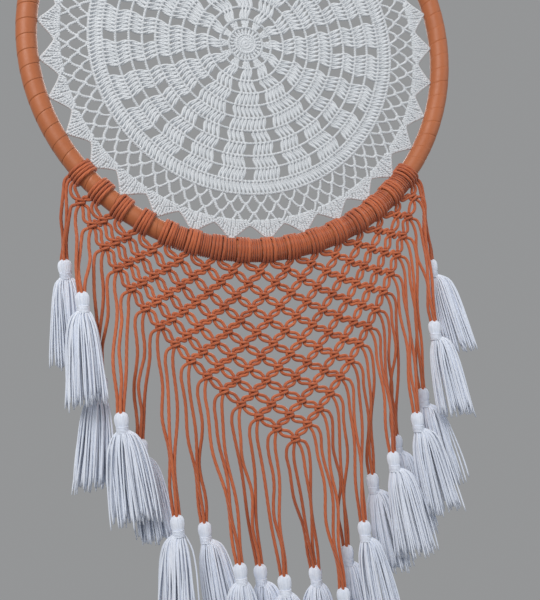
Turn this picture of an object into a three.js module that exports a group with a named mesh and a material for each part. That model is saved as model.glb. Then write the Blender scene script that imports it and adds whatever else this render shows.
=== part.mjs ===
// Dream catcher: a taped hoop with a crochet doily stretched inside it, a knotted cord net
// hanging from its lower arc, and a fringe of strands that ends in yarn tassels.
// Millimetres, +Z up, the front faces -Y. The origin is where a hook bears, on the inside of the
// hoop's top, so everything but the top of the hoop is below it.
import * as THREE from "three";

// Hoop: a bent tube, closed by a dowel in its joint and wound with tape.
const HOOP_RADIUS = 153; // to the middle of the tube
const TUBE_OUTER = 6.35;
const TUBE_BORE = 4.7;
const TAPE_INNER = 6.65;
const TAPE_OUTER = 7.1;
const JOINT_GAP_DEG = 0.3; // where the two ends of the tube, or of the tape, meet
const TAPE_START_DEG = 9; // the tape starts this far past the tube's joint
const DOWEL_RADIUS = 3.9;
const DOWEL_HALF_DEG = 9;
const RING_STEPS = 40;
const SECTION_SIDES = 10;

// Doily: a round of crochet, and the edging of points worked round it that holds it to the hoop.
const DOILY_POINTS = 33;
const DOILY_TIP_RADIUS = 142.2; // clear of the cord wraps
const DOILY_NOTCH_RADIUS = 134.5;
const DOILY_EDGING_RADIUS = 132.3; // inside of the edging
const DOILY_ROUND_RADIUS = 132;
const DOILY_THICKNESS = 2;

// Cord looped over the hoop in lark's heads, two groups of wraps to a segment.
const WRAP_INNER = 8;
const WRAP_OUTER = 10.3;
const WRAP_SEGMENTS = 8;
const WRAP_LEFT_DEG = -58; // angles run from the bottom of the hoop, positive to the right
const WRAP_RIGHT_DEG = 49.6;
const WRAP_SPACE_DEG = 0.4;

// Net: rows of square knots, one knot fewer in each row, down to the tip. Places are measured
// from the hoop's centre: across, and up.
const NET_ROWS = 15;
const NET_TOP_RADIUS = 164.4;
const NET_THICKNESS = 5;
const NET_MARGIN = 4.5; // half of a knot, past the middle of the last one
const NET_TIP = new THREE.Vector2(1.5, -288);
const NET_LEFT = new THREE.QuadraticBezierCurve(
  new THREE.Vector2(-128, -109),
  new THREE.Vector2(-86, -226),
  NET_TIP,
);
const NET_RIGHT = new THREE.QuadraticBezierCurve(
  new THREE.Vector2(116, -124),
  new THREE.Vector2(73, -226),
  NET_TIP,
);
const FOLD_HEIGHT = -181; // the net folds along this line
const FOLD_HALF_GAP = 1.3;

// Fringe: each bundle gathers the strands of neighbouring knots and ends in a tassel. The heads'
// places run from the hoop inwards, across and up from the hoop's centre.
const STRANDS_PER_BUNDLE = 3;
const LOOSE_STRANDS = 2; // on each side these hang straight from the hoop
const LOOSE_RADIUS = 163;
const LOOSE_LEFT_DEG = -55.5;
const LOOSE_RIGHT_DEG = 47.5;
const LEFT_HEADS = [
  [-143, -146],
  [-133, -171],
  [-127, -228],
  [-116, -253],
  [-105, -274],
  [-87, -325],
  [-68, -336],
  [-49, -363],
  [-33, -371],
  [-20, -376],
];
const RIGHT_HEADS = [
  [126, -170],
  [114, -217],
  [105, -266],
  [91, -281],
  [79, -297],
  [69, -306],
  [57, -322],
  [41, -350],
  [31, -369],
  [20, -392],
];
const CENTRE_HEAD = [6, -379];
const PIVOT_DROP = 6; // a bundle swings from this far below its lowest knot
const PIVOT_OUTSET = 5; // and this far outside its knots, clear of the net's side
const BUNDLE_RADIUS = 3;
const BUNDLE_SIDES = 8;
const BUNDLE_STEP = 15;
const BUNDLE_CLEARANCE = 1; // from the swing's axis to the start of the bundle
const LAYER_OFFSET = 8; // neighbouring tassels hang in front of and behind the net's plane

// Tassel: a looped head, a bound neck and a skirt of yarn, flattened by its neighbours.
const TASSEL_LENGTH = 76;
const TASSEL_HEAD_RADIUS = 6.2;
const TASSEL_NECK_RADIUS = 4.6;
const TASSEL_SKIRT_RADIUS = 9.6;
const TASSEL_FLATTEN = 0.72;
const TASSEL_SIDES = 8;
const TOUCH_GAP = 0.3;

const lerp = THREE.MathUtils.lerp;
const radians = THREE.MathUtils.degToRad;

function finish(color, roughness) {
  return new THREE.MeshStandardMaterial({ color, roughness, metalness: 0 });
}

const COLOURS = {
  tube: [0xd9d3c4, 0.5],
  dowel: [0xc9a877, 0.7],
  tape: [0xc87848, 0.55],
  doily: [0xcfd3d8, 0.9],
  cord: [0xcd6038, 0.75],
  yarn: [0xdde2ea, 0.95],
};

function part(name, geometry, look) {
  const mesh = new THREE.Mesh(geometry, finish(...COLOURS[look]));
  mesh.name = name;
  return mesh;
}

// The point on a circle round the hoop's centre, at an angle from the circle's lowest point.
function around(radius, degrees) {
  const a = radians(degrees);
  return new THREE.Vector2(radius * Math.sin(a), -radius * Math.cos(a));
}

// An arc of the hoop's centreline, in the plane of the hoop.
class HoopArc extends THREE.Curve {
  constructor(fromDeg, toDeg) {
    super();
    this.fromDeg = fromDeg;
    this.toDeg = toDeg;
  }

  getPoint(t, target = new THREE.Vector3()) {
    const p = around(HOOP_RADIUS, lerp(this.fromDeg, this.toDeg, t));
    return target.set(p.x, 0, p.y);
  }
}

function circle(Kind, radius) {
  return new Kind().absarc(0, 0, radius, 0, 2 * Math.PI);
}

// A round section sweeps with two sides for each of its curve segments.
function sweep(section, sides, steps, extrudePath) {
  const curveSegments = sides / 2;
  return new THREE.ExtrudeGeometry(section, { steps, curveSegments, extrudePath });
}

// A round section swept along an arc of the hoop, with a bore through it if one is given.
function sweptArc(fromDeg, toDeg, steps, outer, bore) {
  const section = circle(THREE.Shape, outer);
  if (bore) section.holes.push(circle(THREE.Path, bore));
  return sweep(section, SECTION_SIDES, steps, new HoopArc(fromDeg, toDeg));
}

// A flat piece in the plane of the hoop, from its outline seen from the front.
function plate(outline, thickness, hole) {
  const shape = new THREE.Shape(outline);
  if (hole) shape.holes.push(new THREE.Path(hole));
  const geometry = new THREE.ExtrudeGeometry(shape, { depth: thickness, bevelEnabled: false });
  return geometry.rotateX(Math.PI / 2).translate(0, thickness / 2, 0);
}

function makeHoop() {
  const joint = 180;
  return [
    part(
      "hoop_tube",
      sweptArc(
        joint - 360 + JOINT_GAP_DEG / 2,
        joint - JOINT_GAP_DEG / 2,
        RING_STEPS,
        TUBE_OUTER,
        TUBE_BORE,
      ),
      "tube",
    ),
    part(
      "hoop_joint_dowel",
      sweptArc(joint - DOWEL_HALF_DEG, joint + DOWEL_HALF_DEG, 4, DOWEL_RADIUS),
      "dowel",
    ),
    part(
      "hoop_tape",
      sweptArc(
        joint - 360 + JOINT_GAP_DEG / 2 + TAPE_START_DEG,
        joint - JOINT_GAP_DEG / 2 + TAPE_START_DEG,
        RING_STEPS,
        TAPE_OUTER,
        TAPE_INNER,
      ),
      "tape",
    ),
  ];
}

// The edging has a point at the bottom, and so a notch at the top, under the hook.
function makeDoily() {
  const pitch = 360 / DOILY_POINTS;
  const ring = (radius, count) =>
    Array.from({ length: count }, (_, i) => around(radius, (i * 360) / count));
  const star = Array.from({ length: DOILY_POINTS }, (_, i) => [
    around(DOILY_TIP_RADIUS, i * pitch),
    around(DOILY_NOTCH_RADIUS, (i + 0.5) * pitch),
  ]).flat();
  const round = ring(DOILY_ROUND_RADIUS, 2 * DOILY_POINTS);
  const seam = ring(DOILY_EDGING_RADIUS, 2 * DOILY_POINTS);
  return [
    part("doily", plate(round, DOILY_THICKNESS), "doily"),
    part("doily_edging", plate(star, DOILY_THICKNESS, seam), "doily"),
  ];
}

function makeWraps() {
  const span = (WRAP_RIGHT_DEG - WRAP_LEFT_DEG) / WRAP_SEGMENTS;
  return Array.from({ length: WRAP_SEGMENTS }, (_, i) => {
    const from = WRAP_LEFT_DEG + i * span;
    const arc = sweptArc(
      from + WRAP_SPACE_DEG / 2,
      from + span - WRAP_SPACE_DEG / 2,
      3,
      WRAP_OUTER,
      WRAP_INNER,
    );
    return part(`lark_heads_${i + 1}`, arc, "cord");
  });
}

// Where along a side of the net its height is reached: the sides only ever go down.
function reach(side, height) {
  let low = 0;
  let high = 1;
  while (high - low > 1e-6) {
    const middle = (low + high) / 2;
    if (side.getPoint(middle).y > height) low = middle;
    else high = middle;
  }
  return low;
}

// A stretch of a side of the net, moved out to the edge of its knots.
function netSide(side, from, to, steps) {
  const outwards = Math.sign(side.v0.x);
  return Array.from({ length: steps + 1 }, (_, i) => {
    const t = lerp(from, to, i / steps);
    const slope = side.getTangent(t);
    const normal = new THREE.Vector2(-slope.y, slope.x).multiplyScalar(outwards);
    return side.getPoint(t).addScaledVector(normal, NET_MARGIN);
  });
}

function netTop(fromDeg, toDeg, steps) {
  return Array.from({ length: steps + 1 }, (_, i) =>
    around(NET_TOP_RADIUS, lerp(fromDeg, toDeg, i / steps)),
  );
}

function makeUpperNet(name, side) {
  const start = side.v0;
  const startDeg = THREE.MathUtils.radToDeg(Math.atan2(start.x, -start.y));
  const middle = Math.sign(start.x) * (TOUCH_GAP / 2);
  const middleDeg = THREE.MathUtils.radToDeg(middle / NET_TOP_RADIUS);
  const fold = FOLD_HEIGHT + FOLD_HALF_GAP;
  const edge = netSide(side, reach(side, fold), 0, 8);
  edge[0].y = fold;
  return part(
    name,
    plate(
      [...netTop(startDeg, middleDeg, 12), new THREE.Vector2(middle, fold), ...edge],
      NET_THICKNESS,
    ),
    "cord",
  );
}

function makeLowerNet() {
  const fold = FOLD_HEIGHT - FOLD_HALF_GAP;
  const left = netSide(NET_LEFT, reach(NET_LEFT, fold), 1, 8);
  const right = netSide(NET_RIGHT, reach(NET_RIGHT, fold), 1, 8).reverse();
  left[0].y = fold;
  right[right.length - 1].y = fold;
  return part("net_lower", plate([...left, ...right], NET_THICKNESS), "cord");
}

// Where a bundle's strands leave the net, or the hoop, and the point below them it swings from.
function bundlePivot(side, looseDeg, index) {
  const starts = Array.from({ length: STRANDS_PER_BUNDLE }, (_, i) => {
    const strand = index * STRANDS_PER_BUNDLE + i - LOOSE_STRANDS;
    if (strand < 0) return around(LOOSE_RADIUS, looseDeg);
    return side.getPoint(Math.floor(strand / 2) / (NET_ROWS - 1));
  });
  const across = starts.reduce((sum, p) => sum + p.x, 0) / starts.length;
  const lowest = Math.min(...starts.map((p) => p.y));
  const outset = Math.sign(across) * PIVOT_OUTSET;
  return new THREE.Vector2(across + outset, lowest - PIVOT_DROP);
}

// The strands fall from the pivot into their own layer, and straight down into the tassel.
function makeBundle(name, pivot, head, layer) {
  const drop = pivot.y - head.z;
  const top = new THREE.Vector3(pivot.x, 0, pivot.y - BUNDLE_CLEARANCE);
  const end = new THREE.Vector3(head.x, layer, head.z + TOUCH_GAP);
  const path = new THREE.CubicBezierCurve3(
    top,
    new THREE.Vector3(pivot.x, 0, pivot.y - drop * 0.3),
    new THREE.Vector3(head.x, layer, head.z + drop * 0.3),
    end,
  );
  const steps = Math.max(2, Math.round(drop / BUNDLE_STEP));
  const section = circle(THREE.Shape, BUNDLE_RADIUS);
  return part(name, sweep(section, BUNDLE_SIDES, steps, path), "cord");
}

function makeTassel(name, head) {
  const profile = [
    [0, -TASSEL_LENGTH],
    [TASSEL_SKIRT_RADIUS * 0.92, -TASSEL_LENGTH],
    [TASSEL_SKIRT_RADIUS, -TASSEL_LENGTH * 0.6],
    [TASSEL_SKIRT_RADIUS * 0.8, -TASSEL_LENGTH * 0.28],
    [TASSEL_NECK_RADIUS, -TASSEL_LENGTH * 0.17],
    [TASSEL_HEAD_RADIUS, -TASSEL_LENGTH * 0.09],
    [TASSEL_HEAD_RADIUS * 0.6, 0],
    [0, 0],
  ].map(([r, z]) => new THREE.Vector2(r, z));
  const geometry = new THREE.LatheGeometry(profile, TASSEL_SIDES)
    .rotateX(Math.PI / 2)
    .scale(1, TASSEL_FLATTEN, 1);
  const tassel = part(name, geometry, "yarn");
  tassel.position.copy(head);
  return tassel;
}

function makeFringe(label, pivot, [across, up], inFront) {
  const layer = inFront ? -LAYER_OFFSET : LAYER_OFFSET;
  const head = new THREE.Vector3(across, layer, up);
  return [
    makeBundle(`fringe_${label}`, pivot, head, layer),
    makeTassel(`tassel_${label}`, head),
  ];
}

// Layers alternate from the outermost bundle on the left to the outermost on the right.
function makeAllFringes() {
  const tipPivot = new THREE.Vector2(NET_TIP.x, NET_TIP.y - PIVOT_DROP);
  return [
    ...LEFT_HEADS.flatMap((head, i) =>
      makeFringe(`left_${i + 1}`, bundlePivot(NET_LEFT, LOOSE_LEFT_DEG, i), head, i % 2 === 1),
    ),
    ...makeFringe("centre", tipPivot, CENTRE_HEAD, false),
    ...RIGHT_HEADS.flatMap((head, i) =>
      makeFringe(`right_${i + 1}`, bundlePivot(NET_RIGHT, LOOSE_RIGHT_DEG, i), head, i % 2 === 1),
    ),
  ];
}

const dreamCatcher = new THREE.Group();
const hanging = new THREE.Group(); // its own origin is the centre of the hoop
hanging.position.z = -(HOOP_RADIUS - TAPE_OUTER);
hanging.add(
  ...makeHoop(),
  ...makeDoily(),
  ...makeWraps(),
  makeUpperNet("net_upper_left", NET_LEFT),
  makeUpperNet("net_upper_right", NET_RIGHT),
  makeLowerNet(),
  ...makeAllFringes(),
);
dreamCatcher.add(hanging);

export default dreamCatcher;
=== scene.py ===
import bpy
import math
import numpy as np
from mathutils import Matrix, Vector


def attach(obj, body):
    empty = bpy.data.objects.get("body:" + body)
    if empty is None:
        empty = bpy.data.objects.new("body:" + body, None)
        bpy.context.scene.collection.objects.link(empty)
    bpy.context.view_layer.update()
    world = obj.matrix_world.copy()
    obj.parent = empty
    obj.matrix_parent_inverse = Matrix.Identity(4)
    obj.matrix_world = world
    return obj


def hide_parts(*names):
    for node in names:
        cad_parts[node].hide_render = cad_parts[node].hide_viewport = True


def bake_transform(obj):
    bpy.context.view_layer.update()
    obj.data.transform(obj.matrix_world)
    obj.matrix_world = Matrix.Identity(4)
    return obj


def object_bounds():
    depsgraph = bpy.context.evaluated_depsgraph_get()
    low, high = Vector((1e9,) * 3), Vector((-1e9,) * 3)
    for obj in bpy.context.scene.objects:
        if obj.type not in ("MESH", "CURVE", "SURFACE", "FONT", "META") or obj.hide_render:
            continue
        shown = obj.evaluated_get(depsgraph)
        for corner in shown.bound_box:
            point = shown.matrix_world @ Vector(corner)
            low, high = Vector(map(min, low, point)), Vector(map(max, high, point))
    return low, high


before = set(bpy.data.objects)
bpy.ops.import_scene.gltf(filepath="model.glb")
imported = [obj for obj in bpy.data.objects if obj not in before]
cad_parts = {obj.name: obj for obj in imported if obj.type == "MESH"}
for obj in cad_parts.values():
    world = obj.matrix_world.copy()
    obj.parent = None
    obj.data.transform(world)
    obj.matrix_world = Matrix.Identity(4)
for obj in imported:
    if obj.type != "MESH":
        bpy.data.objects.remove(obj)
cad_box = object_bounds()

# ---------------------------------------------------------------- Where it is seen from
# The piece hangs on a wall at arm's length, and is looked at from just below the middle of the
# hoop and a little to the left of it.
HOOP_CENTRE = np.array([0.0, 0.0, -0.1459])
EYE = (-0.1135, -0.4854, -0.3701)
EYE_TURN = (94.098, 6.851, -12.136)

eye = bpy.data.objects.new("eye", bpy.data.cameras.new("eye"))
bpy.context.scene.collection.objects.link(eye)
eye.location = EYE
eye.rotation_euler = [math.radians(a) for a in EYE_TURN]
eye.data.sensor_fit = "HORIZONTAL"
eye.data.sensor_width = 36
eye.data.lens = 46.67
bpy.context.scene.camera = eye

# ---------------------------------------------------------------- The fringe
# Sixty-four ends of smooth cotton macrame cord hang free, two from each knot down both sides of
# the net, four from its tip and two from the last lark's head on each side. They are gathered in
# threes, and four at the tip, and each bundle ends in a knot inside its tassel.
CORD = 2.35
NET_ROWS = 15
KNOT_RADIUS = 168.0
KNOT_FROM, KNOT_TO = -49.6, 43.1
NET_TIP = (1.5, -288.0)
NET_LEFT = ((-128.0, -109.0), (-86.0, -226.0), NET_TIP)
NET_RIGHT = ((116.0, -124.0), (73.0, -226.0), NET_TIP)
HEADS = 32
WRAP_FROM, WRAP_TO = -58.0, 49.6
WRAPS_TOGETHER = 4
WRAP_RADIUS = 8.45
RING_RADIUS = 153.0
LOOSE = 2
GATHERED = 3
LAYER = 8.0
PIVOT_DROP, PIVOT_OUTSET = 6.0, 5.0
LOOSE_RADIUS, LOOSE_LEFT, LOOSE_RIGHT = 163.0, -55.5, 47.5
LEFT_TASSELS = [
    (-143, -146), (-133, -171), (-127, -228), (-116, -253), (-105, -274),
    (-87, -325), (-68, -336), (-49, -363), (-33, -371), (-20, -376),
]
RIGHT_TASSELS = [
    (126, -170), (114, -217), (105, -266), (91, -281), (79, -297),
    (69, -306), (57, -322), (41, -350), (31, -369), (20, -392),
]
CENTRE_TASSEL = (6, -379)
LEFT_LEANS = (-2, -4, -12, 2, 4, -7, 8, -4, 5, 0)
RIGHT_LEANS = (13, 9, 9, 10, 9, 8, 8, 7, 6, 5)
BUNDLES_FROM_HOOP = 4
STRANDS_APART = 1.9
STRAND_DEPTHS = (0.8, -0.9)
BENDS_ABOVE, BENDS_BELOW = 0.006, 0.008
MOST_CORDS = 40
hand = np.random.default_rng(11)


class Wire:
    """One output in a material's nodes; sums written with it become Math nodes."""

    def __init__(self, tree, socket=None):
        self.tree = tree
        self.socket = socket

    def node(self, kind, settings=None, inputs=None, output=0):
        made = self.tree.nodes.new("ShaderNode" + kind)
        for key, value in (settings or {}).items():
            setattr(made, key, value)
        for key, value in (inputs or {}).items():
            if isinstance(value, Wire):
                self.tree.links.new(value.socket, made.inputs[key])
            else:
                made.inputs[key].default_value = value
        return Wire(self.tree, made.outputs[output])

    def maths(self, operation, *values):
        return self.node("Math", {"operation": operation}, dict(enumerate(values)))

    def __add__(self, other):
        return self.maths("ADD", self, other)

    def __mul__(self, other):
        return self.maths("MULTIPLY", self, other)

    def __truediv__(self, other):
        return self.maths("DIVIDE", self, other)

    __radd__ = __add__
    __rmul__ = __mul__

    def wave(self):
        return self.maths("SINE", self * (2 * math.pi)) * 0.5 + 0.5

    def blend(self, low, high):
        """A colour between low and high, by this value."""
        ends = {0: self, 6: low, 7: high}
        return self.node("Mix", {"data_type": "RGBA"}, ends, output=2)

    def grain(self, scale, detail):
        place = self.node("TexCoord", output=3)
        sizes = {"Vector": place, "Scale": scale, "Detail": detail, "Roughness": 0.5}
        return self.node("TexNoise", inputs=sizes)


def colour(red, green, blue):
    return (red, green, blue, 1.0)


def dyed(name, cover, roughness, relief, depth, **fixed):
    """A material from functions that take its wires: cover for colour, relief for height."""
    material = bpy.data.materials.new(name)
    material.use_nodes = True
    tree = material.node_tree
    shader = tree.nodes["Principled BSDF"]
    start = Wire(tree)
    tree.links.new(cover(start).socket, shader.inputs["Base Color"])
    tree.links.new(roughness(start).socket, shader.inputs["Roughness"])
    bump = start.node("Bump", inputs={"Height": relief(start), "Distance": depth})
    tree.links.new(bump.socket, shader.inputs["Normal"])
    for key, value in fixed.items():
        shader.inputs[key.replace("_", " ")].default_value = value
    return material


def plies(wires, count, lay):
    """How high the twisted plies of a thread stand: count plies, one turn every lay mm. In a colour
    it is painted shade, darker in the grooves between the plies.
    """
    laid = wires.node("UVMap", {"uv_map": "thread"})
    split = [wires.node("SeparateXYZ", inputs={0: laid}, output=i) for i in (0, 1)]
    return (split[0] * count + split[1] / lay).wave()


def tone(wires):
    return wires.node("Attribute", {"attribute_name": "tone"}, output=2)


def cord_colour_and_groove_shade(wires):
    # The plies term is painted shade: it darkens the cord in the grooves between its plies. The
    # grain and the tone vary its orange at random.
    shade = wires.grain(60, 3) * 0.5 + tone(wires) * 0.35 + plies(wires, 5, 5.5) * 0.25
    return shade.blend(colour(0.30, 0.052, 0.013), colour(0.62, 0.160, 0.054))


cord_dye = dyed(
    "macrame_cord_dyed",
    cord_colour_and_groove_shade,
    lambda w: w.grain(500, 2) * 0.25 + 0.55,
    lambda w: plies(w, 5, 5.5) * 0.8 + w.grain(1500, 3) * 0.5,
    0.00022,
    Sheen_Weight=0.25,
    Sheen_Roughness=0.5,
)


def around(radius, degrees, depth=0.0):
    """Points on a circle round the hoop's middle, by the angle from its lowest point, in mm."""
    a = np.radians(degrees)
    across, out, up = np.broadcast_arrays(radius * np.sin(a), depth, -radius * np.cos(a))
    return np.stack([across, out, up], axis=-1)


def on_curve(curve, t):
    start, bend, end = (np.array(p) for p in curve)
    t = np.asarray(t, float)[..., None]
    flat = start * (1 - t) ** 2 + bend * 2 * t * (1 - t) + end * t * t
    return np.stack([flat[..., 0], 0 * flat[..., 0], flat[..., 1]], axis=-1)


def through(points, steps):
    """Smooth lines through control points, shape (lines, points, 3)."""
    p = np.asarray(points, float)
    first = 2 * p[:, :1] - p[:, 1:2]
    last = 2 * p[:, -1:] - p[:, -2:-1]
    p = np.concatenate([first, p, last], axis=1)
    a, b, c, d = (p[:, i : p.shape[1] - 3 + i, None] for i in range(4))
    t = (np.arange(steps) / steps)[:, None]
    line = 2 * b + (c - a) * t + (2 * a - 5 * b + 4 * c - d) * t**2
    line = (line + (3 * b - a - 3 * c + d) * t**3) / 2
    return np.concatenate([line.reshape(len(p), -1, 3), p[:, -2:-1]], axis=1)


def unit(v):
    return v / np.maximum(np.linalg.norm(v, axis=-1, keepdims=True), 1e-9)


def tubes(lines, radius, sides):
    """Rings of points round lines, with a frame carried along each line so it never twists."""
    lines = np.asarray(lines, float)
    count, length = lines.shape[:2]
    along = unit(np.gradient(lines, axis=1))
    aside = np.where(np.abs(along[:, 0, 1:2]) > 0.8, [1.0, 0, 0], [0, 1.0, 0])
    rings = []
    radius = np.broadcast_to(np.asarray(radius, float), (count, length))
    turn = np.arange(sides) * 2 * math.pi / sides
    for i in range(length):
        aside = unit(aside - along[:, i] * np.sum(aside * along[:, i], axis=1)[:, None])
        other = np.cross(along[:, i], aside)
        spoke = np.cos(turn)[:, None] * aside[:, None] + np.sin(turn)[:, None] * other[:, None]
        rings.append(lines[:, i, None] + spoke * radius[:, i, None, None])
    return np.stack(rings, axis=1)


def make_piece(name, threads, material):
    """One mesh from threads: (lines, radius, sides) each. Millimetres from the hoop's middle."""
    corners, loops, sizes, mapped, tones = [], [], [], [], []
    base = 0
    for lines, radius, sides in threads:
        lines = np.asarray(lines, float)
        rings = tubes(lines, radius, sides)
        count, length = rings.shape[:2]
        grid = base + np.arange(count * length * sides).reshape(count, length, sides)
        after = np.roll(grid, -1, axis=2)
        quads = [grid[:, :-1], after[:, :-1], after[:, 1:], grid[:, 1:]]
        quads = np.stack(quads, axis=-1).reshape(-1, 4)
        step = np.linalg.norm(np.diff(lines, axis=1), axis=2)
        run = np.concatenate([np.zeros((count, 1)), np.cumsum(step, axis=1)], axis=1)
        run = np.broadcast_to(run[:, :, None], (count, length, sides))
        side = np.broadcast_to(np.arange(sides) / sides, (count, length, sides))
        u = np.stack([side[:, :-1], side[:, :-1] + 1 / sides] * 2, axis=-1)
        u = u[..., [0, 1, 3, 2]]
        v = np.stack([run[:, :-1], run[:, :-1], run[:, 1:], run[:, 1:]], axis=-1)
        loops += [quads.ravel(), grid[:, 0, ::-1].ravel(), grid[:, -1].ravel()]
        sizes += [np.full(len(quads), 4), np.full(2 * count, sides)]
        mapped += [np.stack([u.ravel(), v.ravel()], axis=-1)]
        mapped += [np.zeros((2 * count * sides, 2))]
        corners.append(rings.reshape(-1, 3))
        tones.append(np.repeat(hand.random(count), length * sides))
        base += count * length * sides
    corners = np.concatenate(corners) / 1000 + HOOP_CENTRE
    loops = np.concatenate(loops)
    sizes = np.concatenate(sizes)
    mesh = bpy.data.meshes.new(name)
    mesh.vertices.add(len(corners))
    mesh.vertices.foreach_set("co", corners.ravel())
    mesh.loops.add(len(loops))
    mesh.loops.foreach_set("vertex_index", loops)
    mesh.polygons.add(len(sizes))
    mesh.polygons.foreach_set("loop_start", np.cumsum(sizes) - sizes)
    mesh.polygons.foreach_set("use_smooth", np.full(len(sizes), True))
    mesh.update(calc_edges=True)
    mesh.uv_layers.new(name="thread").data.foreach_set("uv", np.concatenate(mapped).ravel())
    mesh.attributes.new("tone", "FLOAT", "POINT").data.foreach_set("value", np.concatenate(tones))
    mesh.materials.append(material)
    piece = bpy.data.objects.new(name, mesh)
    bpy.context.scene.collection.objects.link(piece)
    return piece


# Where the knots of the net lie. The first row follows the hoop, the rows below straighten
# towards the tip, and both sides of the net are curved.
def knot_places():
    places = []
    for row in range(NET_ROWS):
        t = row / (NET_ROWS - 1)
        share = np.linspace(0, 1, NET_ROWS - row) if row < NET_ROWS - 1 else np.array([0.5])
        left, right = on_curve(NET_LEFT, t), on_curve(NET_RIGHT, t)
        straight = left + (right - left) * share[:, None]
        top_left, top_right = on_curve(NET_LEFT, 0), on_curve(NET_RIGHT, 0)
        bow = around(KNOT_RADIUS, KNOT_FROM + (KNOT_TO - KNOT_FROM) * share)
        bow = bow - (top_left + (top_right - top_left) * share[:, None])
        places.append(straight + bow * (1 - t) ** 1.85)
    return places


# The lark's heads sit two by two, so four turns of cord lie side by side, then a space.
def wrap_angles():
    group = (WRAP_TO - WRAP_FROM) / (HEADS / 2)
    turn = np.degrees((CORD + 0.08) / RING_RADIUS)
    middle = WRAP_FROM + group * (np.arange(HEADS // 2) + 0.5)
    spread = (np.arange(WRAPS_TOGETHER) - (WRAPS_TOGETHER - 1) / 2) * turn
    return (middle[:, None] + spread).ravel()


knots = knot_places()
wraps_at = wrap_angles()
wrap_exits = around(RING_RADIUS + WRAP_RADIUS, wraps_at, -1.0)

# Each knot's own directions: up towards the two knots that it hangs from, and across.
knot_up, knot_across = [], []
for row, places in enumerate(knots):
    if row:
        above = (knots[row - 1][:-1] + knots[row - 1][1:]) / 2
    else:
        inner = wrap_exits[LOOSE : LOOSE + 4 * NET_ROWS].reshape(NET_ROWS, 4, 3)
        above = inner.mean(axis=1) * [1, 0, 1]
    up = unit(above - places + [0, 0, 4.0])
    knot_up.append(up)
    knot_across.append(np.stack([up[:, 2], 0 * up[:, 0], -up[:, 0]], axis=-1))

# Where a knot's four cords come in at its top and go out below it, and the way they point:
# outer left, inner left, inner right, outer right.
PORTS = np.array([(-3.0, -1.9), (-1.3, -3.0), (1.3, -3.0), (3.0, -1.9)])
PORT_WAYS = np.array([(-0.95, -0.31), (-0.4, -0.92), (0.4, -0.92), (0.95, -0.31)])


def port(row, i, which, upper=False):
    side, drop = PORTS[which]
    way, fall = PORT_WAYS[which]
    sign = -1 if upper else 1
    up, across = knot_up[row][i], knot_across[row][i]
    place = knots[row][i] + across * side + up * drop * sign
    return place, across * way + up * fall * sign


def strand_start(left, strand):
    """Where a hanging strand leaves the net or the hoop, and which way."""
    if strand < LOOSE:
        k = strand if left else len(wraps_at) - 1 - strand
        return wrap_exits[k], unit(wrap_exits[k] * [1, 0, 1])
    row, inner = divmod(strand - LOOSE, 2)
    i = 0 if left else len(knots[row]) - 1
    return port(row, i, (inner if left else 3 - inner))


def pivot_of(left, k):
    curve, loose = (NET_LEFT, LOOSE_LEFT) if left else (NET_RIGHT, LOOSE_RIGHT)
    ends = []
    for strand in range(GATHERED * k, GATHERED * (k + 1)):
        if strand < LOOSE:
            ends.append(around(LOOSE_RADIUS, loose))
        else:
            ends.append(on_curve(curve, ((strand - LOOSE) // 2) / (NET_ROWS - 1)))
    ends = np.array(ends)
    out = -PIVOT_OUTSET if left else PIVOT_OUTSET
    return np.array([ends[:, 0].mean() + out, 0, ends[:, 2].min() - PIVOT_DROP])


def hang(start, way, foot, depth):
    """A strand's line: out of its knot in an arch, then down to its tassel in slack waves."""
    drop = start[2] - foot[2]
    lead = min(9.0, drop * 0.22)
    knee = start + way * lead * 0.42 + [0, 0, -lead * 0.12]
    shin = start + way * lead * 0.62 + [0, 0, -lead * 0.75]
    t = np.linspace(0, 1, max(5, int(drop / 9)))
    ease = t * t * (3 - 2 * t)
    line = shin + (foot - shin) * t[:, None]
    line[:, 0] = shin[0] + (foot[0] - shin[0]) * (0.45 * t + 0.55 * ease)
    line[:, 1] = depth * ease
    swell = np.sin(math.pi * t) ** 0.8
    turns = drop / hand.uniform(55, 120)
    phase = hand.random() * 6.28
    line[:, 0] += swell * hand.uniform(0.7, 2.3) * np.sin(phase + 6.28 * turns * t)
    line[:, 1] += swell * hand.uniform(0.4, 1.4) * np.sin(phase * 1.7 + 5.4 * turns * t)
    line = np.concatenate([[start - way * 1.2, start, knee], line, [foot + [0, 0, -7.0]]])
    return through(line[None], 6)[0]


bundles = []
for left, tassels, leans in (
    (True, LEFT_TASSELS, LEFT_LEANS),
    (False, RIGHT_TASSELS, RIGHT_LEANS),
):
    for k, (across, up) in enumerate(tassels):
        starts = [strand_start(left, GATHERED * k + m) for m in range(GATHERED)]
        label = f"{'left' if left else 'right'}_{k + 1}"
        layer = -LAYER if k % 2 else LAYER
        head = np.array([across, layer, up], float)
        parent = "hoop" if k < BUNDLES_FROM_HOOP else "lower_net"
        bundles.append((label, parent, pivot_of(left, k), head, starts, leans[k]))
tip_starts = [port(NET_ROWS - 1, 0, which) for which in range(4)]
head = np.array([CENTRE_TASSEL[0], LAYER, CENTRE_TASSEL[1]], float)
tip_pivot = np.array([NET_TIP[0], 0, NET_TIP[1] - PIVOT_DROP])
bundles.append(("centre", "lower_net", tip_pivot, head, tip_starts, 0))

strands = []
for label, parent, pivot, head, starts, lean in bundles:
    order = sorted(range(len(starts)), key=lambda m: starts[m][0][0])
    for rank, m in enumerate(order):
        beside = (rank - (len(starts) - 1) / 2) * STRANDS_APART
        depth = STRAND_DEPTHS[rank % 2]
        line = hang(*starts[m], head + [beside, depth, 0], head[1] + depth)
        length = np.linalg.norm(np.diff(line, axis=0), axis=1).sum() / 1000
        strands.append([f"strand_{label}_{rank + 1}", label, parent, pivot, line, length, rank])
declared = {s[0] for s in sorted(strands, key=lambda s: -s[5])[:MOST_CORDS]}

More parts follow.
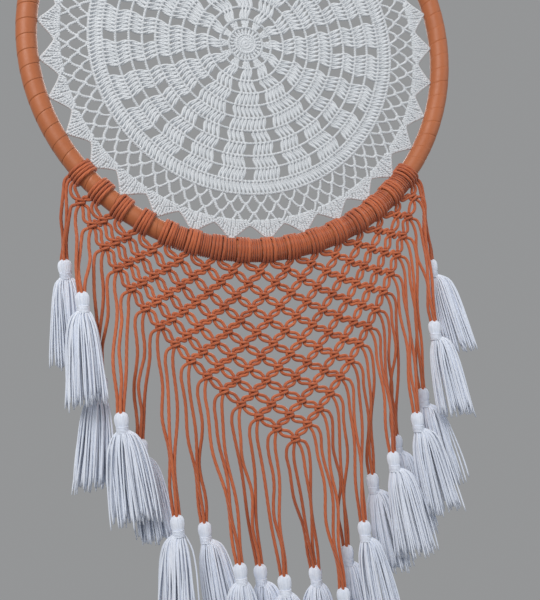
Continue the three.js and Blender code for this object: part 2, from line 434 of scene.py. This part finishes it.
for name, label, parent, pivot, line, length, rank in strands:
    strand = make_piece(name, [(line[None], CORD / 2, 8)], cord_dye)
    turn = pivot / 1000 + HOOP_CENTRE
    above, below = turn + [0, 0, BENDS_ABOVE], turn - [0, 0, BENDS_BELOW]
    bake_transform(strand)
    if rank == 0:
        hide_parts(f"fringe_{label}")
    if name in declared:
        route = line / 1000 + HOOP_CENTRE

# ---------------------------------------------------------------- The cord on the hoop
# Each length of cord is folded over the hoop in a lark's head, with its bar at the back, so two
# turns show in front. A finer cord is wound between them from the middle round to the right.
FINE_CORD = 1.5
FINE_FROM = -31.0
FINE_BETWEEN = 5
FINE_APART = 1.58
FINE_RADIUS = 7.1 + FINE_CORD / 2


def turns_round_hoop(angles, radius, lean):
    """Cord round the hoop's section, one whole turn at each angle, leaning a little."""
    turn = np.linspace(-0.52, 0.56, 22) * 2 * math.pi
    lean = np.asarray(lean)[:, None] * np.sin(turn / 2)
    at = np.radians(np.asarray(angles)[:, None] + lean)
    out = RING_RADIUS + radius * np.cos(turn)
    depth = np.broadcast_to(radius * np.sin(turn), at.shape)
    return np.stack([out * np.sin(at), depth, -out * np.cos(at)], axis=-1)


wrap_lean = hand.uniform(-0.25, 0.25, len(wraps_at))
wrap_lines = turns_round_hoop(wraps_at, WRAP_RADIUS, wrap_lean)
bars = []
for first in range(0, len(wraps_at), 2):
    span = np.linspace(wraps_at[first] - 0.1, wraps_at[first + 1] + 0.1, 7)
    depth = 4.0 + 6.6 * np.sin(np.linspace(0.35, math.pi - 0.35, 7))
    bars.append(around(RING_RADIUS + 4.5, span, depth))
group = (WRAP_TO - WRAP_FROM) / (HEADS / 2)
gaps = WRAP_FROM + group * np.arange(1, HEADS // 2)
gaps = gaps[gaps > FINE_FROM]
fine_step = np.degrees(FINE_APART / RING_RADIUS)
fine_at = gaps[:, None] + (np.arange(FINE_BETWEEN) - (FINE_BETWEEN - 1) / 2) * fine_step
fine_at = fine_at.ravel()
fine_lean = hand.uniform(-0.12, 0.12, len(fine_at)) + 0.25
wraps = make_piece(
    "cord_wraps",
    [
        (wrap_lines, CORD / 2, 8),
        (through(np.array(bars), 3), CORD / 2, 8),
        (turns_round_hoop(fine_at, FINE_RADIUS, fine_lean), FINE_CORD / 2, 6),
    ],
    cord_dye,
)
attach(wraps, "hoop")
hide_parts(*[f"lark_heads_{i + 1}" for i in range(8)])

# ---------------------------------------------------------------- The knotted net
# Rows of square knots, each tied with the two right-hand cords of one knot and the two left-hand
# cords of its neighbour above. The outer cords of the four go round the two in the middle.
UPPER_ROWS = 5
TIGHT = 1.04
LEFT_CORE = [(-1.3, 0, 3.0), (-1.0, 0.2, 1.5), (-0.95, 0.3, 0), (-1.0, 0.2, -1.5), (-1.3, 0, -3.0)]
FRONT_CORD = [
    (-3.0, 0, 1.9), (-2.0, -0.9, 1.6), (0, -1.95, 1.15), (1.8, -1.5, 0.85), (2.6, -0.3, 0),
    (1.8, -1.5, -0.85), (0, -1.95, -1.15), (-2.0, -0.9, -1.6), (-3.0, 0, -1.9),
]
BACK_CORD = [
    (3.0, 0, 1.9), (2.3, 0.8, 1.6), (0.9, 1.95, 1.2), (-1.2, 1.85, 0.85), (-2.5, 0.4, 0.5),
    (-2.8, -1.0, 0), (-2.5, 0.4, -0.5), (-1.2, 1.85, -0.85), (0.9, 1.95, -1.2),
    (2.3, 0.8, -1.6), (3.0, 0, -1.9),
]
RIGHT_CORE = [(-x, y, z) for x, y, z in LEFT_CORE]


def tied(pattern, rows, steps):
    """A cord of the square knot, set at every knot of some rows."""
    pattern = np.array(pattern, float)
    lines = []
    for row in rows:
        across, up = knot_across[row][:, None], knot_up[row][:, None]
        place = knots[row][:, None] + across * pattern[:, 0, None] + up * pattern[:, 2, None]
        lines.append(place + [0, 1, 0] * pattern[:, 1, None])
    return through(np.concatenate(lines), steps)


def link(a, way_a, b, way_b):
    """A cord from one knot's outlet to the next knot's inlet, bowed by its two directions."""
    reach = np.linalg.norm(b - a) * 0.42
    t = np.linspace(0, 1, 9)[:, None]
    p, q = a + way_a * reach, b + way_b * reach
    line = a * (1 - t) ** 3 + 3 * p * t * (1 - t) ** 2 + 3 * q * t * t * (1 - t) + b * t**3
    return np.concatenate([[a - way_a * 0.5], line, [b - way_b * 0.5]])


def links(rows):
    lines = []
    for row in rows:
        for i in range(len(knots[row])):
            for which in range(4):
                b, way_b = port(row, i, which, upper=True)
                if row == 0:
                    k = LOOSE + 4 * i + which
                    a, way_a = wrap_exits[k], unit(wrap_exits[k] * [1, 0, 1])
                else:
                    a, way_a = port(row - 1, i + which // 2, (which + 2) % 4)
                lines.append(link(a, way_a, b, way_b))
    return np.array(lines)


for name, rows, nodes in (
    ("net_knots_upper", range(UPPER_ROWS), ("net_upper_left", "net_upper_right")),
    ("net_knots_lower", range(UPPER_ROWS, NET_ROWS), ("net_lower",)),
):
    cords = (LEFT_CORE, RIGHT_CORE, FRONT_CORD, BACK_CORD)
    threads = [(tied(cord, rows, 3), TIGHT, 8) for cord in cords]
    threads.append((links(rows), CORD / 2, 8))
    net = make_piece(name, threads, cord_dye)
    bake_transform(net)
    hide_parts(*nodes)

# ---------------------------------------------------------------- The tassels
# Soft white cotton yarn, folded over the knotted ends of the strands, bound round the neck with
# the same yarn and cut at the bottom. The cut ends spread, and none is quite as long as the next.
YARN = 1.2
OUTER_YARNS, INNER_YARNS = 42, 38
STRAYS = 5
NECK_DROP = 11.5
SKIRT_FLAT = 0.55
BIND_RADIUS, BIND_TURNS, BIND_STEP = 3.75, 5.3, 0.95


def yarn_colour_and_groove_shade(wires):
    # The plies term is painted shade: it darkens the yarn in the grooves between its plies. The
    # grain and the tone vary its white at random.
    shade = wires.grain(90, 3) * 0.35 + tone(wires) * 0.45 + plies(wires, 2, 5.0) * 0.2
    return shade.blend(colour(0.62, 0.68, 0.80), colour(0.82, 0.86, 0.95))


yarn_spun = dyed(
    "tassel_yarn_spun",
    yarn_colour_and_groove_shade,
    lambda w: w.grain(700, 2) * 0.15 + 0.8,
    lambda w: plies(w, 2, 5.0) * 0.7 + w.grain(1800, 2) * 0.3,
    0.00007,
    Sheen_Weight=0.3,
    Sheen_Roughness=0.5,
)


def yarn_lines(count, head_radii, skirt, flat, length, lean):
    """Yarns down a tassel: over its head or from inside its neck, and out into the skirt."""
    turn = (np.arange(count) + hand.uniform(-0.4, 0.4, count)) * 2 * math.pi / count
    falls = [0.0, -1.6, -4.6, -8.4, -NECK_DROP, -16.0, -24.0, -36.0, -48.0, -60.0, -72.0]
    full = skirt * hand.uniform(0.72, 1.12, count)
    spread = np.array([0, 0, 0, 0, 0, 0.34, 0.6, 0.76, 0.86, 0.94, 1.0])
    neck = np.array([*head_radii, *[head_radii[-1]] * 6])
    radii = neck + (full[:, None] - neck) * spread
    z = np.array(falls) * np.ones((count, 1))
    cut = length + hand.uniform(-6, 4, count)
    z[:, 5:] = -NECK_DROP + (z[:, 5:] + NECK_DROP) * cut[:, None] / 72
    sway = hand.uniform(-0.4, 0.4, (count, 1)) * spread
    wave = np.linspace(0, 1, 11) * hand.uniform(4, 9, (count, 1))
    wave = np.sin(wave + hand.uniform(0, 6.28, (count, 1)))
    wave = wave * hand.uniform(0.4, 1.5, (count, 1)) * spread
    at = turn[:, None] + sway
    x = (radii + wave) * np.cos(at) + lean * np.linspace(0, 1, 11) ** 1.5 * (spread > 0)
    y = (radii + wave * 0.5) * np.sin(at) * flat
    return np.stack([x, y, z], axis=-1)


for label, parent, pivot, head, starts, lean in bundles:
    skirt = hand.uniform(12.0, 14.5)
    length = hand.uniform(66, 73)
    flat = SKIRT_FLAT
    outer = yarn_lines(OUTER_YARNS, (1.2, 3.4, 4.3, 3.8, 3.0), skirt, flat, length, lean)
    inner = yarn_lines(INNER_YARNS, (0.8, 1.4, 2.2, 2.2, 2.0), skirt * 0.8, flat, length, lean)
    core = yarn_lines(INNER_YARNS // 2, (0.4, 0.8, 1.0, 1.1, 1.0), skirt * 0.5, flat, length, lean)
    stray = yarn_lines(STRAYS, (1.0, 3.2, 4.2, 3.8, 3.0), skirt * 1.22, flat * 0.8, length + 3, lean)
    thin = np.interp(np.arange(31), [0, 4, 9, 12, 16, 28, 30], [0.7, 1, 1, 0.72, 1, 1, 0.75])
    winding = np.linspace(0, BIND_TURNS * 2 * math.pi, 64)
    bind = np.stack(
        [
            BIND_RADIUS * np.cos(winding),
            BIND_RADIUS * 0.85 * np.sin(winding),
            -NECK_DROP + 2.2 - winding / (2 * math.pi) * BIND_STEP,
        ],
        axis=-1,
    )
    threads = [
        (through(yarns, 3) + head, YARN / 2 * thin, 6) for yarns in (outer, inner, core, stray)
    ]
    threads.append(((bind + head)[None], YARN * 0.46, 6))
    tassel = make_piece(f"yarn_tassel_{label}", threads, yarn_spun)
    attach(tassel, f"tassel_{label}")
    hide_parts(f"tassel_{label}")

# ---------------------------------------------------------------- The doily
# Crocheted in the round from cool white cotton: a ringed hub, ten rows of tall stitches with
# lines of square holes left in them, three rounds of open chain loops, and pointed shells whose
# tips are sewn to the hoop.
ROWS_FROM, ROW_STEP, ROWS = 19.0, 9.3, 10
STITCH = 2.95
SPOKES = 12
LONG_AT, SHORT_AT = 10.0, 25.0
SHORT_FROM = 5
THREAD = 1.45
POST_THREAD = 1.85
HOLE = 4.6
SHELLS = 33
LOOPS = 66
LOOP_ROUNDS = 3
FAN_STITCHES = 15
SHORTEST_TALL = 2.2
SHELL_BASE, NOTCH, TIP = 131.0, 134.5, 145.6


def lace_colour_and_groove_shade(wires):
    # The plies term is painted shade: it darkens the thread in the grooves between its plies. The
    # grain and the tone vary its white at random.
    shade = wires.grain(120, 3) * 0.5 + tone(wires) * 0.25 + plies(wires, 3, 1.8) * 0.25
    return shade.blend(colour(0.53, 0.565, 0.60), colour(0.79, 0.82, 0.86))


lace_cotton = dyed(
    "doily_cotton_thread",
    lace_colour_and_groove_shade,
    lambda w: w.grain(800, 2) * 0.15 + 0.75,
    lambda w: plies(w, 3, 1.8) * 0.7 + w.grain(3000, 3) * 0.4,
    0.00016,
    Sheen_Weight=0.2,
    Sheen_Roughness=0.5,
)


def twisted(lines, ply, lay, phase=0.0):
    """Two plies twisted together along lines in the hoop's plane, each ply half of the pair."""
    lines = np.asarray(lines, float)
    step = np.linalg.norm(np.diff(lines, axis=1), axis=2)
    run = np.concatenate([np.zeros((len(lines), 1)), np.cumsum(step, axis=1)], axis=1)
    aside = np.cross(unit(np.gradient(lines, axis=1)), [0, 1.0, 0])
    out = []
    for half in (0, math.pi):
        turn = run / lay * 2 * math.pi + half + np.asarray(phase)[..., None]
        side = aside * np.cos(turn)[..., None] * ply
        out.append(lines + side + np.array([0, 1, 0]) * (np.sin(turn) * ply * 0.7)[..., None])
    return np.concatenate(out)


def row_sectors(row):
    """The stretches of a row between its holes, as pairs of angles."""
    low = ROWS_FROM + row * ROW_STEP
    middle = low + ROW_STEP / 2
    spokes = [LONG_AT + 360 / SPOKES * k for k in range(SPOKES)]
    if row >= SHORT_FROM:
        spokes += [SHORT_AT + 360 / SPOKES * k for k in range(SPOKES)]
    spokes = sorted(spokes)
    wide = HOLE + STITCH + 2.0 * row / ROWS
    half = np.degrees(wide / 2 / middle) if row < ROWS - 1 else 0.0
    following = spokes[1:] + [spokes[0] + 360]
    return [(a + half, b - half) for a, b in zip(spokes, following)]


posts = []
for row in range(ROWS):
    low = ROWS_FROM + row * ROW_STEP
    middle = low + ROW_STEP / 2
    solid = row == ROWS - 1
    for a, b in row_sectors(row):
        wide = np.radians(b - a) * middle
        count = max(2, int(round(wide / STITCH)) + 1)
        at = np.linspace(a, b, count)[: -1 if solid else None]
        lean = np.degrees(1.15 / middle) * (1 if row % 2 else -1)
        bend = np.degrees(hand.uniform(-0.18, 0.18, len(at)) / middle)
        for angle, stray in zip(at, bend):
            heights = low + ROW_STEP * np.array([-0.09, 0.3, 0.7, 1.09])
            swing = angle + lean * np.array([-1, -0.6, 0.6, 1]) + stray
            posts.append(around(heights, swing))
posts = through(np.array(posts), 2)
stitches = make_piece(
    "doily_stitches",
    [(twisted(posts, 0.66, 19.0, hand.uniform(-1.75, -1.35, len(posts))), POST_THREAD / 2, 5)],
    lace_cotton,
)
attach(stitches, "hoop")
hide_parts("doily")


def chain_round(radius, per_stitch=STITCH):
    """A closed round of chain stitches: two threads that weave past each other."""
    count = max(8, int(round(2 * math.pi * radius / per_stitch)))
    at = np.linspace(0, 360, count * 5 + 1)
    turn = np.radians(at) * count
    out = []
    for half in (0, math.pi):
        weave = radius + 0.5 * np.sin(turn + half)
        out.append(around(weave, at, -0.3 + 0.5 * np.cos(turn + half)))
    return [(np.array([line]), THREAD / 2 * 0.86, 5) for line in out]


threads = []
for row in range(ROWS + 1):
    threads += chain_round(ROWS_FROM + row * ROW_STEP)
# The hub: a ring of stitches worked into the centre loop, a second ring, and twelve fours.
HUB_ROUNDS = (1.2, 3.6, 7.0, 12.4)
HUB_STITCH = 2.2
HUB_POSTS = 24
for radius in HUB_ROUNDS:
    threads += chain_round(radius, HUB_STITCH)
post_pitch = 360 / HUB_POSTS
hub = [around(np.array([0.9, 3.0, 5.4, 7.4]), post_pitch * k) for k in range(HUB_POSTS)]
hub += [
    around(np.array([6.6, 8.4, 10.6, 12.8]), post_pitch * (k + 0.5)) for k in range(HUB_POSTS)
]
for k in range(SPOKES):
    middle = SHORT_AT + 360 / SPOKES * k
    for lean in (-7.0, -2.4, 2.4, 7.0):
        spread = middle + lean * np.array([0.7, 0.8, 1, 1.1])
        hub.append(around(np.array([12.0, 14.4, 17.0, 19.4]), spread))
hub = twisted(through(np.array(hub), 2), 0.5, 5.0, hand.uniform(0, 6, len(hub)))
threads.append((hub, THREAD / 2, 5))
rounds = make_piece("doily_chain_rounds", threads, lace_cotton)
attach(rounds, "hoop")

# Open loops of chain, each hung between the tops of two in the round before.
edge = []
loop_from = ROWS_FROM + ROWS * ROW_STEP
loop_step = (SHELL_BASE + 1.5 - loop_from) / LOOP_ROUNDS
pitch = 360 / LOOPS
for course in range(LOOP_ROUNDS):
    low = loop_from + course * loop_step
    for k in range(LOOPS):
        a = pitch * (k + 0.5 * course) + pitch / 4
        share = np.array([0.0, 0.1, 0.3, 0.5, 0.7, 0.9, 1.0])
        rise = np.array([-0.05, 0.3, 0.86, 1.04, 0.86, 0.3, -0.05])
        edge.append(around(low + loop_step * rise, a + pitch * share + hand.uniform(-0.15, 0.15)))
edge = through(np.array(edge), 3)
threads = [(twisted(edge, 0.58, 3.4, hand.uniform(0, 6, len(edge))), THREAD / 2, 5)]

# The shells: stitches fanned from the top of two loops out to a point, and a chain round them.
fans, hems = [], []
shell_pitch = 360 / SHELLS
for k in range(SHELLS):
    middle = shell_pitch * k
    u = np.linspace(-1, 1, FAN_STITCHES)
    high = NOTCH + (TIP - NOTCH) * (1 - np.abs(u)) ** 1.3
    at = middle + u * shell_pitch / 2
    for m in range(FAN_STITCHES):
        foot = middle + u[m] * shell_pitch * 0.36
        for tier in (0.0, 1.0):
            if tier and high[m] < NOTCH + SHORTEST_TALL:
                continue
            low_end = SHELL_BASE + tier * (high[m] - SHELL_BASE) * 0.5
            top_end = SHELL_BASE + (tier + 1) * (high[m] - SHELL_BASE) * 0.5
            if not tier and high[m] < NOTCH + SHORTEST_TALL:
                top_end = high[m]
            share = np.linspace(0, 1, 4)
            rise = low_end + (top_end - low_end) * share
            ahead = (rise - SHELL_BASE) / (high[m] - SHELL_BASE)
            stray = hand.uniform(-0.2, 0.2)
            fans.append(around(rise, foot + (at[m] - foot) * ahead + stray, -0.2))
    fine = np.linspace(-1, 1, 25)
    rim = NOTCH + (TIP - NOTCH) * (1 - np.abs(fine)) ** 1.3
    hems.append(around(rim, middle + fine * shell_pitch / 2))
fans, hems = through(np.array(fans), 2), through(np.array(hems), 2)
threads.append((twisted(fans, 0.42, 4.5, hand.uniform(0, 6, len(fans))), THREAD / 2, 5))
threads.append((twisted(hems, 0.5, 2.8), THREAD / 2, 5))
edging = make_piece("doily_loops_and_shells", threads, lace_cotton)
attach(edging, "hoop")
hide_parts("doily_edging")

# ---------------------------------------------------------------- The hoop's tape
# One long ribbon, wound in a spiral round the whole ring so that each turn laps the last.
TAPE_PITCH = 11.0
TAPE_LAP = 1.5
TAPE_OUTSIDE = 7.1


def tape_colour(wires):
    shade = wires.grain(35, 3) * 0.55 + wires.grain(420, 2) * 0.3 + 0.08
    return shade.blend(colour(0.36, 0.095, 0.028), colour(0.52, 0.165, 0.058))


tape_woven = dyed(
    "hoop_tape_woven",
    tape_colour,
    lambda w: w.grain(300, 2) * 0.2 + 0.42,
    lambda w: w.grain(2200, 2) * 0.5 + w.grain(90, 2) * 0.8,
    0.00015,
    Sheen_Weight=0.1,
)

turns = int(round(2 * math.pi * RING_RADIUS / TAPE_PITCH))
steps = 28
wind = np.arange(turns * steps + 1) / steps
width = np.array([0, 0.2, 0.4, 0.6, 0.8, 0.94, 1.0, 1.0, 0.94, 0.0])
lift = np.array([-0.13, -0.09, -0.05, -0.02, 0.0, 0.0, -0.02, -0.08, -0.12, -0.3])
wobble = np.interp(wind, np.arange(turns + 1), hand.uniform(-0.07, 0.07, turns + 1))
reach = (width - 0.5) * (1 + TAPE_LAP / TAPE_PITCH)
at = (wind[:, None] + reach + wobble[:, None]) * 360 / turns + 9
turn = wind[:, None] * 2 * math.pi
out = TAPE_OUTSIDE + lift
ring = RING_RADIUS + out * np.cos(turn)
strip = around(ring, at, out * np.sin(turn)) / 1000 + HOOP_CENTRE
count, sides = strip.shape[:2]
grid = np.arange(count * sides).reshape(count, sides)
after = np.roll(grid, -1, axis=1)
faces = np.stack([grid[:-1], grid[1:], after[1:], after[:-1]], axis=-1).reshape(-1, 4)
mesh = bpy.data.meshes.new("tape_ribbon")
ends = [list(grid[0]), list(grid[-1][::-1])]
mesh.from_pydata(strip.reshape(-1, 3).tolist(), [], faces.tolist() + ends)
mesh.polygons.foreach_set("use_smooth", [True] * len(mesh.polygons))
mesh.materials.append(tape_woven)
tape = bpy.data.objects.new("tape_ribbon", mesh)
bpy.context.scene.collection.objects.link(tape)
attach(tape, "hoop")
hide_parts("hoop_tape")

# ---------------------------------------------------------------- The ring inside the tape
# A bent plastic tube whose ends meet over a short wooden dowel. Both are hidden by the tape.
tube_plastic = dyed(
    "hoop_tube_plastic",
    lambda w: w.grain(40, 2).blend(colour(0.62, 0.58, 0.50), colour(0.74, 0.70, 0.62)),
    lambda w: w.grain(200, 2) * 0.2 + 0.35,
    lambda w: w.grain(600, 2),
    0.0001,
)
dowel_beech = dyed(
    "joint_dowel_beech",
    lambda w: w.grain(150, 4).blend(colour(0.42, 0.26, 0.13), colour(0.62, 0.44, 0.26)),
    lambda w: w.grain(300, 2) * 0.2 + 0.55,
    lambda w: w.grain(900, 3),
    0.0002,
)
for node, material in (("hoop_tube", tube_plastic), ("hoop_joint_dowel", dowel_beech)):
    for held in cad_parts[node].material_slots:
        held.material = material

# ---------------------------------------------------------------- Floor and light
# A pale floor well below the piece, soft daylight from above on its left, a weaker light on its
# right and one behind.
FLOOR_BELOW = 1.4
FLOOR_RADIUS = 3.8
FLOOR_SIDES = 96
LIT_AT = (0, 0, -0.28)
lowest = cad_box[0][2] - FLOOR_BELOW
floor_mesh = bpy.data.meshes.new("floor")
rim_at = [k * 2 * math.pi / FLOOR_SIDES for k in range(FLOOR_SIDES)]
rim_points = [(FLOOR_RADIUS * math.cos(a), FLOOR_RADIUS * math.sin(a), lowest) for a in rim_at]
floor_mesh.from_pydata(rim_points, [], [list(range(FLOOR_SIDES))])
floor = bpy.data.objects.new("floor", floor_mesh)
bpy.context.scene.collection.objects.link(floor)
floor_mesh.materials.append(
    dyed(
        "pale_floor",
        lambda w: w.grain(3, 2).blend(colour(0.57, 0.57, 0.57), colour(0.60, 0.60, 0.60)),
        lambda w: w.grain(20, 2) * 0.1 + 0.8,
        lambda w: w.grain(50, 2),
        0.0002,
    )
)

for name, place, power, size, tint in (
    ("daylight", (-0.7, -1.3, 0.7), 24, 0.8, (1.0, 0.98, 0.95)),
    ("fill", (1.2, -1.0, 0.1), 6, 1.2, (0.95, 0.97, 1.0)),
    ("behind", (0.5, 1.4, 0.5), 16, 1.2, (1.0, 1.0, 1.0)),
):
    lamp = bpy.data.lights.new(name, "AREA")
    lamp.energy = power
    lamp.size = size
    lamp.color = tint
    light = bpy.data.objects.new(name, lamp)
    bpy.context.scene.collection.objects.link(light)
    light.location = place
    aim = np.array(LIT_AT) - np.array(place)
    light.rotation_euler = [
        math.atan2(math.hypot(aim[0], aim[1]), -aim[2]),
        0,
        math.atan2(-aim[0], aim[1]),
    ]

world = bpy.data.worlds.new("room")
world.use_nodes = True
world.node_tree.nodes["Background"].inputs["Color"].default_value = (0.62, 0.63, 0.64, 1)
world.node_tree.nodes["Background"].inputs["Strength"].default_value = 0.48
bpy.context.scene.world = world
bpy.context.scene.view_settings.view_transform = "Standard"
